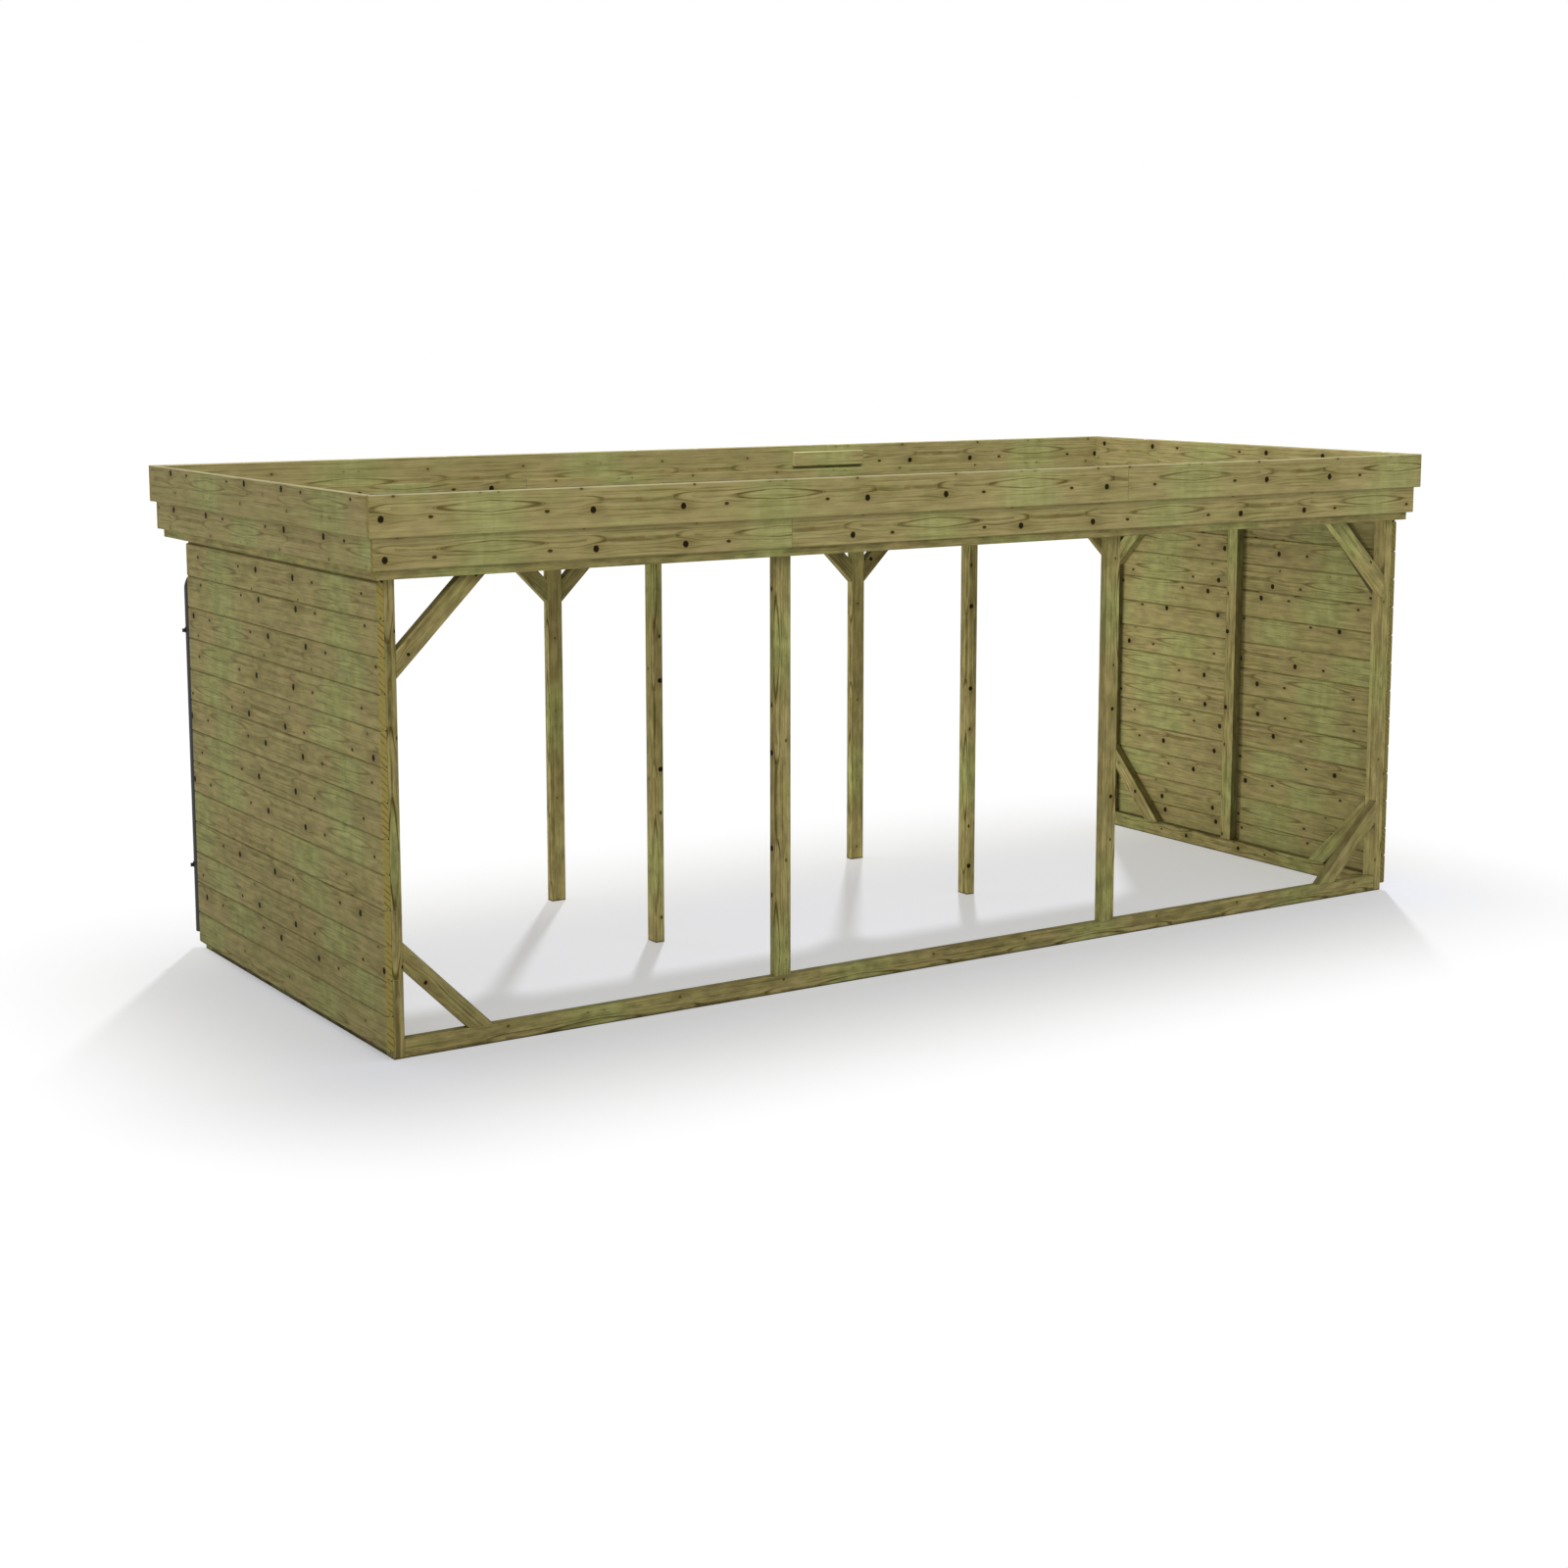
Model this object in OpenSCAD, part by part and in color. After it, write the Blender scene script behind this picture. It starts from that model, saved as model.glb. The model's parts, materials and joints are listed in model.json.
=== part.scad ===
// Open firewood shelter: a free-standing, flat-roofed frame of
// pressure-treated softwood in three bays, boarded on its two short sides and
// open at the front and the back. A double stepped fascia hides a roof that
// falls slightly to the back, where one downpipe drains it.
//
// Millimetres, +Z up. X runs along the front, left to right as seen from the
// front, and Y runs from the front to the back. The origin is on the ground,
// in the middle of the roof's outline.

/* [Frame] */
// Length over the corner posts
frame_l = 5300; // [3600:50:6000]
// Depth over the corner posts
frame_d = 2056; // [1600:4:2400]
// Height of the posts
post_h = 1842; // [1600:1:2100]
// Thickness of all frame timber
timber_t = 45; // [38:1:60]
// Width of the posts, studs and braces
timber_w = 75; // [60:1:95]
// Height of the sills
sill_h = 76; // [60:1:120]
// Height of the plates and beams on top of the posts
beam_h = 70; // [60:1:95]

/* [Bracing] */
// Length along the post and the beam that an upper knee brace takes
brace_upper = 378; // [250:1:450]
// Length along the post and the sill that a lower knee brace takes
brace_lower = 378; // [250:1:450]

/* [Side walls] */
// Thickness of the boarding
board_t = 28; // [18:1:32]
// Cover of one board
board_cover = 138.25; // [110:0.25:140]
// Boards on each wall
board_n = 13; // [10:1:13]
// Gap between the ground and the boarding
board_gap = 33; // [20:1:60]

/* [Roof] */
// Height over everything
roof_top = 2160; // [2000:5:2500]
// Overhang of the rim past the posts at the back
back_overhang = 234; // [100:2:300]
// Height of the rim boards
rim_h = 95; // [80:1:96]
// Thickness of a fascia board
fascia_t = 22; // [18:1:28]
// Height of the upper fascia board
upper_h = 160; // [140:5:180]
// Height of the lower fascia board
lower_h = 160; // [130:1:161]
// Height of a rafter at its front end
rafter_front = 45; // [40:1:50]
// Height of a rafter at its back end
rafter_back = 27; // [26:1:36]
// Number of rafters
rafter_n = 10; // [6:1:12]
// Thickness of the roof boards
deck_t = 18; // [12:1:24]
// Thickness of the roofing sheet
skin_t = 2; // [1:0.5:3]
// Depth of the roofing sheet's upper edge below the lower fascia's top
sheet_drop = 45; // [20:1:60]
// Length of the plate that splices the back fascia
splice_l = 435; // [300:5:600]
// Height of the splice plate
splice_h = 75; // [60:1:85]
// Depth of the splice plate's top below the upper fascia's top
splice_drop = 33; // [25:1:42]

/* [Downpipe] */
// Outer radius of the downpipe
pipe_r = 34; // [25:1:40]
// Wall of the downpipe
pipe_wall = 2.5; // [1.5:0.5:3]
// Sideways offset of the two bends under the roof
pipe_offset = 135; // [100:5:200]
// Height where the bends begin
bend_z = 1600; // [1400:5:1620]
// Centre line radius of a bend
bend_r = 60; // [50:5:80]
// Gap between the pipe's end and the ground
pipe_gap = 68; // [40:2:150]
// Distance of the pipe's axis behind the back corner post
pipe_back = 64; // [50:1:80]

/* [Hidden] */
$fn = 64;
half_l = frame_l / 2;
rim_t = timber_t;
out = rim_t + 2 * fascia_t;                 // posts' face to the fascia's face
depth = out + frame_d + back_overhang + 2 * fascia_t;
yf = -depth / 2 + out;                      // front face of the posts
yb = yf + frame_d;                          // back face of the back posts
y_rim = yb + back_overhang;                 // outer face of the back rim board
x_in = half_l - timber_t;                   // inner face of a corner post
x_post = frame_l / 6;                       // axis of a post between bays
y_mid = yf + frame_d / 2;                   // front face of the middle row
beam_z = post_h + beam_h;                   // underside of the rafters
lower_z = post_h + 36;                      // underside of the lower fascia
upper_z = roof_top - upper_h;               // underside of the upper fascia
x_splice = x_post + 5;                      // middle of the splice plate
clad_top = board_gap + board_n * board_cover;
slope = (rafter_front - rafter_back) / (y_rim - rim_t - yf);
x_pipe = -half_l + 15;
y_pipe = yb + pipe_back;
x_drain = x_pipe + pipe_offset;
clip_z = [375, 1437];
treated = [0.55, 0.51, 0.34];
pale = [0.62, 0.57, 0.40];
dark = [0.23, 0.24, 0.25];
felt = [0.16, 0.16, 0.17];

// a box between two opposite corners
module bar(a, b) {
    translate(a) cube([b[0] - a[0], b[1] - a[1], b[2] - a[2]]);
}

// height of the rafters' top edge, which is the deck's underside
function deck_z(y) = beam_z + rafter_front - slope * (y - yf);

// one strut at 45 degrees in the XZ plane, filling a corner at the origin that
// opens to +X and +Z, from y = 0 to the timber's thickness
module strut(leg) {
    inner = leg - timber_w * sqrt(2);
    translate([0, timber_t, 0]) rotate([90, 0, 0])
        linear_extrude(timber_t)
            polygon([[leg, 0], [0, leg], [0, inner], [inner, 0]]);
}

// the strut in a corner at [x, y, z]; sx and sz are +1 or -1 and give the way
// that the corner opens
module strut_x(x, y, z, sx, sz, leg) {
    translate([x, y, z])
        mirror([sx < 0 ? 1 : 0, 0, 0]) mirror([0, 0, sz < 0 ? 1 : 0])
            strut(leg);
}

// the same in the YZ plane of a side wall, from x to x + timber_t
module strut_y(x, y, z, sy, sz, leg) {
    inner = leg - timber_w * sqrt(2);
    translate([x, y, z])
        mirror([0, sy < 0 ? 1 : 0, 0]) mirror([0, 0, sz < 0 ? 1 : 0])
            rotate([90, 0, 90]) linear_extrude(timber_t)
                polygon([[leg, 0], [0, leg], [0, inner], [inner, 0]]);
}

// posts: the corner posts and the inner rows stand on the ground
module corner_post(s, y) {
    color(treated) bar([s < 0 ? -half_l : x_in, y, 0],
                       [s < 0 ? -x_in : half_l, y + timber_w, post_h]);
}
module corner_post_front_left() { corner_post(-1, yf); }
module corner_post_front_right() { corner_post(1, yf); }
module corner_post_back_left() { corner_post(-1, yb - timber_w); }
module corner_post_back_right() { corner_post(1, yb - timber_w); }

// the front posts stand on the sill, with their wide face to the front
module front_post(x) {
    color(treated) bar([x - timber_w / 2, yf, sill_h],
                       [x + timber_w / 2, yf + timber_t, post_h]);
}
module front_post_left() { front_post(-x_post); }
module front_post_right() { front_post(x_post); }

// the middle posts have their narrow face to the front
module middle_post(x) {
    color(treated) bar([x - timber_t / 2, y_mid, 0],
                       [x + timber_t / 2, y_mid + timber_w, post_h]);
}
module middle_post_left() { middle_post(-x_post); }
module middle_post_right() { middle_post(x_post); }

module back_post(x) {
    color(treated) bar([x - timber_w / 2, yb - timber_t, 0],
                       [x + timber_w / 2, yb, post_h]);
}
module back_post_left() { back_post(-x_post); }
module back_post_right() { back_post(x_post); }

// side walls: sill, stud, plate and boarding
module wall_stud(s) {
    color(treated) bar([s < 0 ? -half_l : x_in, y_mid, sill_h],
                       [s < 0 ? -x_in : half_l, y_mid + timber_w, post_h]);
}
module left_wall_stud() { wall_stud(-1); }
module right_wall_stud() { wall_stud(1); }

module wall_sill(s) {
    color(treated) bar([s < 0 ? -half_l : x_in, yf + timber_w, 0],
                       [s < 0 ? -x_in : half_l, yb - timber_w, sill_h]);
}
module left_wall_sill() { wall_sill(-1); }
module right_wall_sill() { wall_sill(1); }

module wall_plate(s) {
    color(treated) bar([s < 0 ? -half_l : x_in, yf, post_h],
                       [s < 0 ? -x_in : half_l, y_rim - rim_t, beam_z]);
}
module left_wall_plate() { wall_plate(-1); }
module right_wall_plate() { wall_plate(1); }

// the boarding: the top board's tongue closes the gap under the rim
module wall_boarding(s) {
    x = s < 0 ? -half_l - board_t : half_l;
    color(pale) {
        bar([x, yf, board_gap], [x + board_t, yb, clad_top]);
        bar([x + board_t / 2 - 3, yf, clad_top - 1],
            [x + board_t / 2 + 3, yb, max(post_h, clad_top)]);
    }
}
module left_wall_boarding() { wall_boarding(-1); }
module right_wall_boarding() { wall_boarding(1); }

// sill and beams along the length
module front_sill() {
    color(treated) bar([-x_in, yf, 0], [x_in, yf + timber_t, sill_h]);
}
module beam(y) {
    color(treated) bar([-x_in, y, post_h], [x_in, y + timber_t, beam_z]);
}
module front_beam() { beam(yf); }
module middle_beam() { beam(y_mid + (timber_w - timber_t) / 2); }
module back_beam() { beam(yb - timber_t); }

// knee braces
module front_braces() {
    color(treated) for (s = [-1, 1]) {
        strut_x(s * x_in, yf, post_h, -s, -1, brace_upper);
        strut_x(s * x_in, yf, sill_h, -s, 1, brace_lower);
    }
}
module wall_braces() {
    color(treated) for (x = [-half_l, x_in]) {
        for (e = [[yf + timber_w, 1], [yb - timber_w, -1]]) {
            strut_y(x, e[0], post_h, e[1], -1, brace_upper);
            strut_y(x, e[0], sill_h, e[1], 1, brace_lower);
        }
    }
}
module back_braces() {
    color(treated) {
        for (s = [-1, 1]) {
            strut_x(s * x_in, yb - timber_t, post_h, -s, -1, brace_upper);
            for (t = [-1, 1])
                strut_x(s * x_post + t * timber_w / 2, yb - timber_t, post_h,
                        t, -1, brace_upper);
        }
    }
}

// rim boards around the roof: the front and back ones run through
module rim_board_front() {
    color(treated) bar([-half_l - rim_t, yf - rim_t, post_h],
                       [half_l + rim_t, yf, post_h + rim_h]);
}
module rim_board_back() {
    color(treated) bar([-half_l - rim_t, y_rim - rim_t, post_h],
                       [half_l + rim_t, y_rim, post_h + rim_h]);
}
module rim_side(s) {
    color(treated) bar([s < 0 ? -half_l - rim_t : half_l, yf, post_h],
                       [s < 0 ? -half_l : half_l + rim_t, y_rim - rim_t,
                        post_h + rim_h]);
}
module rim_board_left() { rim_side(-1); }
module rim_board_right() { rim_side(1); }

// fascia boards in two rings; k = 0 is the lower, inner ring
module fascia_x(k, front) {
    o = rim_t + k * fascia_t;
    x = half_l + o + fascia_t;
    y = front ? yf - o - fascia_t : y_rim + k * fascia_t;
    z = k == 0 ? lower_z : upper_z;
    color(treated) bar([-x, y, z],
                       [x, y + fascia_t, z + (k == 0 ? lower_h : upper_h)]);
}
module fascia_y(k, s) {
    o = rim_t + k * fascia_t;
    x = half_l + o;
    z = k == 0 ? lower_z : upper_z;
    color(treated) bar([s < 0 ? -x - fascia_t : x, yf - o, z],
                       [s < 0 ? -x : x + fascia_t, y_rim + k * fascia_t,
                        z + (k == 0 ? lower_h : upper_h)]);
}
module lower_fascia_front() { fascia_x(0, true); }
module lower_fascia_back() { fascia_x(0, false); }
module lower_fascia_left() { fascia_y(0, -1); }
module lower_fascia_right() { fascia_y(0, 1); }
module upper_fascia_front() { fascia_x(1, true); }
module upper_fascia_back() { fascia_x(1, false); }
module upper_fascia_left() { fascia_y(1, -1); }
module upper_fascia_right() { fascia_y(1, 1); }

// plate on the inner face of the back fascia, over the butt joint of its
// two lengths
module fascia_splice_plate() {
    y = y_rim + fascia_t;
    color(pale) bar([x_splice - splice_l / 2, y - fascia_t, roof_top - splice_drop - splice_h],
                    [x_splice + splice_l / 2, y, roof_top - splice_drop]);
}

// rafters with a level underside and a tapered top
module rafters() {
    y1 = y_rim - rim_t;
    step = (frame_l - timber_t) / (rafter_n - 1);
    color(treated) for (i = [0 : rafter_n - 1])
        translate([-half_l + i * step, 0, 0]) rotate([90, 0, 90])
            linear_extrude(timber_t)
                polygon([[yf, beam_z], [y1, beam_z],
                         [y1, deck_z(y1)], [yf, deck_z(yf)]]);
}

// a sloping sheet over the whole roof inside the lower fascia
module sheet(z0, t) {
    a = yf - rim_t;
    b = y_rim;
    translate([-half_l - rim_t, 0, 0]) rotate([90, 0, 90])
        linear_extrude(frame_l + 2 * rim_t)
            polygon([[a, deck_z(a) + z0], [b, deck_z(b) + z0],
                     [b, deck_z(b) + z0 + t], [a, deck_z(a) + z0 + t]]);
}
module roof_deck() {
    color(pale) difference() {
        sheet(0, deck_t);
        translate([x_drain, y_pipe, post_h]) cylinder(r = pipe_r + 2, h = 300);
    }
}

// roofing sheet, turned up against the inner face of the lower fascia
module roofing_sheet() {
    a = yf - rim_t;
    b = y_rim;
    x = half_l + rim_t;
    low = deck_t + skin_t / 2;
    top = max(lower_z + lower_h - sheet_drop, deck_z(a) + deck_t + skin_t + 5);
    color(felt) difference() {
        union() {
            sheet(deck_t, skin_t);
            for (s = [-1, 1])
                translate([s < 0 ? -x : x - skin_t, 0, 0])
                    rotate([90, 0, 90]) linear_extrude(skin_t)
                        polygon([[a, deck_z(a) + low], [b, deck_z(b) + low],
                                 [b, top], [a, top]]);
            bar([-x, a, deck_z(a) + low], [x, a + skin_t, top]);
            bar([-x, b - skin_t, deck_z(b) + low], [x, b, top]);
        }
        translate([x_drain, y_pipe, post_h])
            cylinder(r = pipe_r - pipe_wall - 0.5, h = 300);
    }
}

// outlet with a flange on the roofing sheet and a spigot into the bends
module roof_outlet() {
    z = deck_z(y_pipe) + deck_t + skin_t;
    r = pipe_r - pipe_wall - 0.5;
    color(dark) translate([x_drain, y_pipe, 0]) difference() {
        union() {
            translate([0, 0, z + 1.5]) cylinder(r = 62, h = 4);
            translate([0, 0, z - 80]) cylinder(r = r, h = 84);
        }
        translate([0, 0, z - 81]) cylinder(r = r - 2, h = 90);
    }
}

// centre line of the bends in the XZ plane, as [x, z, degrees from +Z]: two
// arcs of 45 degrees with straight lengths before, between and after them
bend_path = let (
    c = bend_r * (1 - cos(45)),
    h = bend_r * sin(45),
    z1 = bend_z + 20,
    z2 = z1 + 2 * h + pipe_offset - 2 * c,
    steps = [0 : 11.25 : 45]
) concat(
    [[x_pipe, bend_z, 0]],
    [for (a = steps)
        [x_pipe + bend_r * (1 - cos(a)), z1 + bend_r * sin(a), a]],
    [for (a = steps)
        [x_drain - bend_r * (1 - cos(45 - a)), z2 - bend_r * sin(45 - a), 45 - a]],
    [[x_drain, deck_z(y_pipe) - 4, 0]]
);

// one ring of points round the centre line
function ring(p, r, n) = [for (j = [0 : n - 1])
    let (u = r * cos(360 * j / n), v = r * sin(360 * j / n))
        [p[0] + u * cos(p[2]), y_pipe + v, p[1] - u * sin(p[2])]];

// a tube along a path, with an outer and an inner radius
module swept_tube(path, r1, r0, n) {
    m = len(path);
    k = m * n;
    points = concat([for (p = path) each ring(p, r1, n)],
                    [for (p = path) each ring(p, r0, n)]);
    sides = [for (i = [0 : m - 2]) for (j = [0 : n - 1])
        let (a = i * n + j, b = i * n + (j + 1) % n, c = a + n, d = b + n)
            each [[a, c, b], [b, c, d],
                  [k + a, k + b, k + c], [k + b, k + d, k + c]]];
    ends = [for (j = [0 : n - 1])
        let (a = j, b = (j + 1) % n, t = (m - 1) * n)
            each [[a, b, k + a], [b, k + b, k + a],
                  [t + a, t + k + a, t + b], [t + b, t + k + a, t + k + b]]];
    polyhedron(points, concat(sides, ends));
}

// two 45 degree bends that carry the pipe inward under the roof
module downpipe_bends() {
    color(dark) swept_tube(bend_path, pipe_r, pipe_r - pipe_wall, 24);
}

module downpipe() {
    color(dark) translate([x_pipe, y_pipe, pipe_gap]) difference() {
        cylinder(r = pipe_r, h = bend_z - pipe_gap);
        translate([0, 0, -1])
            cylinder(r = pipe_r - pipe_wall, h = bend_z - pipe_gap + 2);
    }
}

// clips with a stem screwed to the back of the corner post
module pipe_clips() {
    color(dark) for (z = clip_z) translate([x_pipe, y_pipe, z]) difference() {
        union() {
            cylinder(r = pipe_r + 4, h = 22, center = true);
            bar([-9, -pipe_back, -9], [9, -pipe_r - 1, 9]);
            bar([-20, -pipe_back, -16], [20, -pipe_back + 4, 16]);
            for (s = [-1, 1])
                bar([s < 0 ? -pipe_r - 16 : pipe_r + 2, -4, -8],
                    [s < 0 ? -pipe_r - 2 : pipe_r + 16, 4, 8]);
        }
        cylinder(r = pipe_r, h = 40, center = true);
    }
}

corner_post_front_left();
corner_post_front_right();
corner_post_back_left();
corner_post_back_right();
front_post_left();
front_post_right();
middle_post_left();
middle_post_right();
back_post_left();
back_post_right();
left_wall_stud();
right_wall_stud();
front_sill();
left_wall_sill();
right_wall_sill();
left_wall_plate();
right_wall_plate();
front_beam();
middle_beam();
back_beam();
left_wall_boarding();
right_wall_boarding();
front_braces();
wall_braces();
back_braces();
rim_board_front();
rim_board_back();
rim_board_left();
rim_board_right();
lower_fascia_front();
lower_fascia_back();
lower_fascia_left();
lower_fascia_right();
upper_fascia_front();
upper_fascia_back();
upper_fascia_left();
upper_fascia_right();
fascia_splice_plate();
rafters();
roof_deck();
roofing_sheet();
roof_outlet();
downpipe_bends();
downpipe();
pipe_clips();
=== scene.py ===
import json
import math
import random

import bmesh
import bpy
from mathutils import Matrix, Vector

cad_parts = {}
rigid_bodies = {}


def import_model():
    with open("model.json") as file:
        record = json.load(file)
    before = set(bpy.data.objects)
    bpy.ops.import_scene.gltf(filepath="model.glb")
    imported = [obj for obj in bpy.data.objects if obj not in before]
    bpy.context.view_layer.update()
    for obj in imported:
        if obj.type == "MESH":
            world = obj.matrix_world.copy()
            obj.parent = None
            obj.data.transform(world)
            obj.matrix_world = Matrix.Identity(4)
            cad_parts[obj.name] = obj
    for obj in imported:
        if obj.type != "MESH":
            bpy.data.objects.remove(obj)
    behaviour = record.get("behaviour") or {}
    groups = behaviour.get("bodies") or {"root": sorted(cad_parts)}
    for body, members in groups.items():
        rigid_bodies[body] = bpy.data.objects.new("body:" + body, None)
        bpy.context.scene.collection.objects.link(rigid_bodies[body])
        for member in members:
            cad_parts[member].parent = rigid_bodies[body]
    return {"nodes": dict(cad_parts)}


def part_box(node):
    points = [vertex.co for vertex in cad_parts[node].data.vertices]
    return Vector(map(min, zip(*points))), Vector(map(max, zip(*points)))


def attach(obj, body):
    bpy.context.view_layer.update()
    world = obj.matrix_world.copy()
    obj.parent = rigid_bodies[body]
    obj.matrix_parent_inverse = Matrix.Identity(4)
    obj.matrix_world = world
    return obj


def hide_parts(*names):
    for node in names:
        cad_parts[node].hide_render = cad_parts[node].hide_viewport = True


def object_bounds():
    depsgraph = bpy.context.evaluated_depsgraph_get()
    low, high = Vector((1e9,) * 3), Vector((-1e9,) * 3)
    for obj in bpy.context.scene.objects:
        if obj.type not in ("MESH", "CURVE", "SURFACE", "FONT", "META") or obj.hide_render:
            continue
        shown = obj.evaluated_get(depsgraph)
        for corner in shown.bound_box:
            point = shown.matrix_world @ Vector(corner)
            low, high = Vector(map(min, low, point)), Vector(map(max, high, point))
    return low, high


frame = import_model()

CAD_BOX = [list(map(float, c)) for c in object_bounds()]
scene = bpy.context.scene

# --------------------------------------------------------------------------
# small helpers
# --------------------------------------------------------------------------
AXES = (Vector((1, 0, 0)), Vector((0, 1, 0)), Vector((0, 0, 1)))


def finish_piece(obj, nodes, material):
    """Gives the piece its material, rides it on the one body and hides the CAD nodes it stands for."""
    if material is not None:
        obj.data.materials.clear()
        obj.data.materials.append(material)
    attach(obj, "root")
    if nodes:
        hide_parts(*nodes)
    return obj


def islands(node):
    """The separate solids of a CAD node, each as a list of its corner points."""
    mesh = frame["nodes"][node].data
    parent = {}

    def key(v):
        return (round(v.co.x, 5), round(v.co.y, 5), round(v.co.z, 5))

    def root(k):
        while parent[k] != k:
            parent[k] = parent[parent[k]]
            k = parent[k]
        return k

    for v in mesh.vertices:
        parent.setdefault(key(v), key(v))
    for p in mesh.polygons:
        ks = [root(key(mesh.vertices[i])) for i in p.vertices]
        for k in ks[1:]:
            parent[root(k)] = root(ks[0])
    groups = {}
    for k in list(parent):
        groups.setdefault(root(k), []).append(Vector(k))
    return sorted(groups.values(), key=lambda g: tuple(min(c[i] for c in g) for i in (0, 2, 1)))


# --------------------------------------------------------------------------
# sawn timber: every board is a closed solid with eased edges, and carries its
# own coordinates for the wood material. All boards come from the same few
# logs, so the figure of the wood is one pattern that each board shows at its
# own place: `tile` is (where the figure's axis lies along the board, where the
# row of large knots lies across it, 1 or -1 for its way up, size of its knots).
# --------------------------------------------------------------------------


def rounded(b, t, r, n=3):
    """Outline of a planed board, counter-clockwise in its (v, w) plane."""
    pts = []
    for cv, cw, a0 in (
        (b / 2 - r, -t / 2 + r, -90),
        (b / 2 - r, t / 2 - r, 0),
        (-b / 2 + r, t / 2 - r, 90),
        (-b / 2 + r, -t / 2 + r, 180),
    ):
        for i in range(n + 1):
            a = math.radians(a0 + 90 * i / n)
            pts.append((cv + r * math.cos(a), cw + r * math.sin(a), 0 < i <= n))
    return pts


def tongued(cover, t, bevel=0.0050, gap=0.0016, tongue=0.007, tt=0.006, back=True):
    """Outline of a tongued and grooved board with V joints on its faces."""
    lo, hi = -cover / 2 + gap / 2, cover / 2 - gap / 2
    h = t / 2
    c, d = bevel, bevel if back else 0.0006
    g = tt / 2 + 0.0004
    pts = [
        (lo + c, -h), (hi - c, -h), (hi, -h + c), (hi, -tt / 2),
        (hi + tongue - 0.001, -tt / 2), (hi + tongue, -tt / 2 + 0.001),
        (hi + tongue, tt / 2 - 0.001), (hi + tongue - 0.001, tt / 2),
        (hi, tt / 2), (hi, h - d), (hi - d, h), (lo + d, h), (lo, h - d),
        (lo, g), (lo + tongue + 0.001, g), (lo + tongue + 0.001, -g), (lo, -g),
        (lo, -h + c),
    ]
    return [(v, w, False) for v, w in pts]


def any_tile(rng, b):
    """A place in the figure for a board that has no set one."""
    return (rng.uniform(0.0, 1.285), rng.uniform(-0.5, 0.5) * b + rng.choice((-0.03, 0.0, 0.02)),
            rng.choice((-1.0, 1.0)), 0.8)


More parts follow.
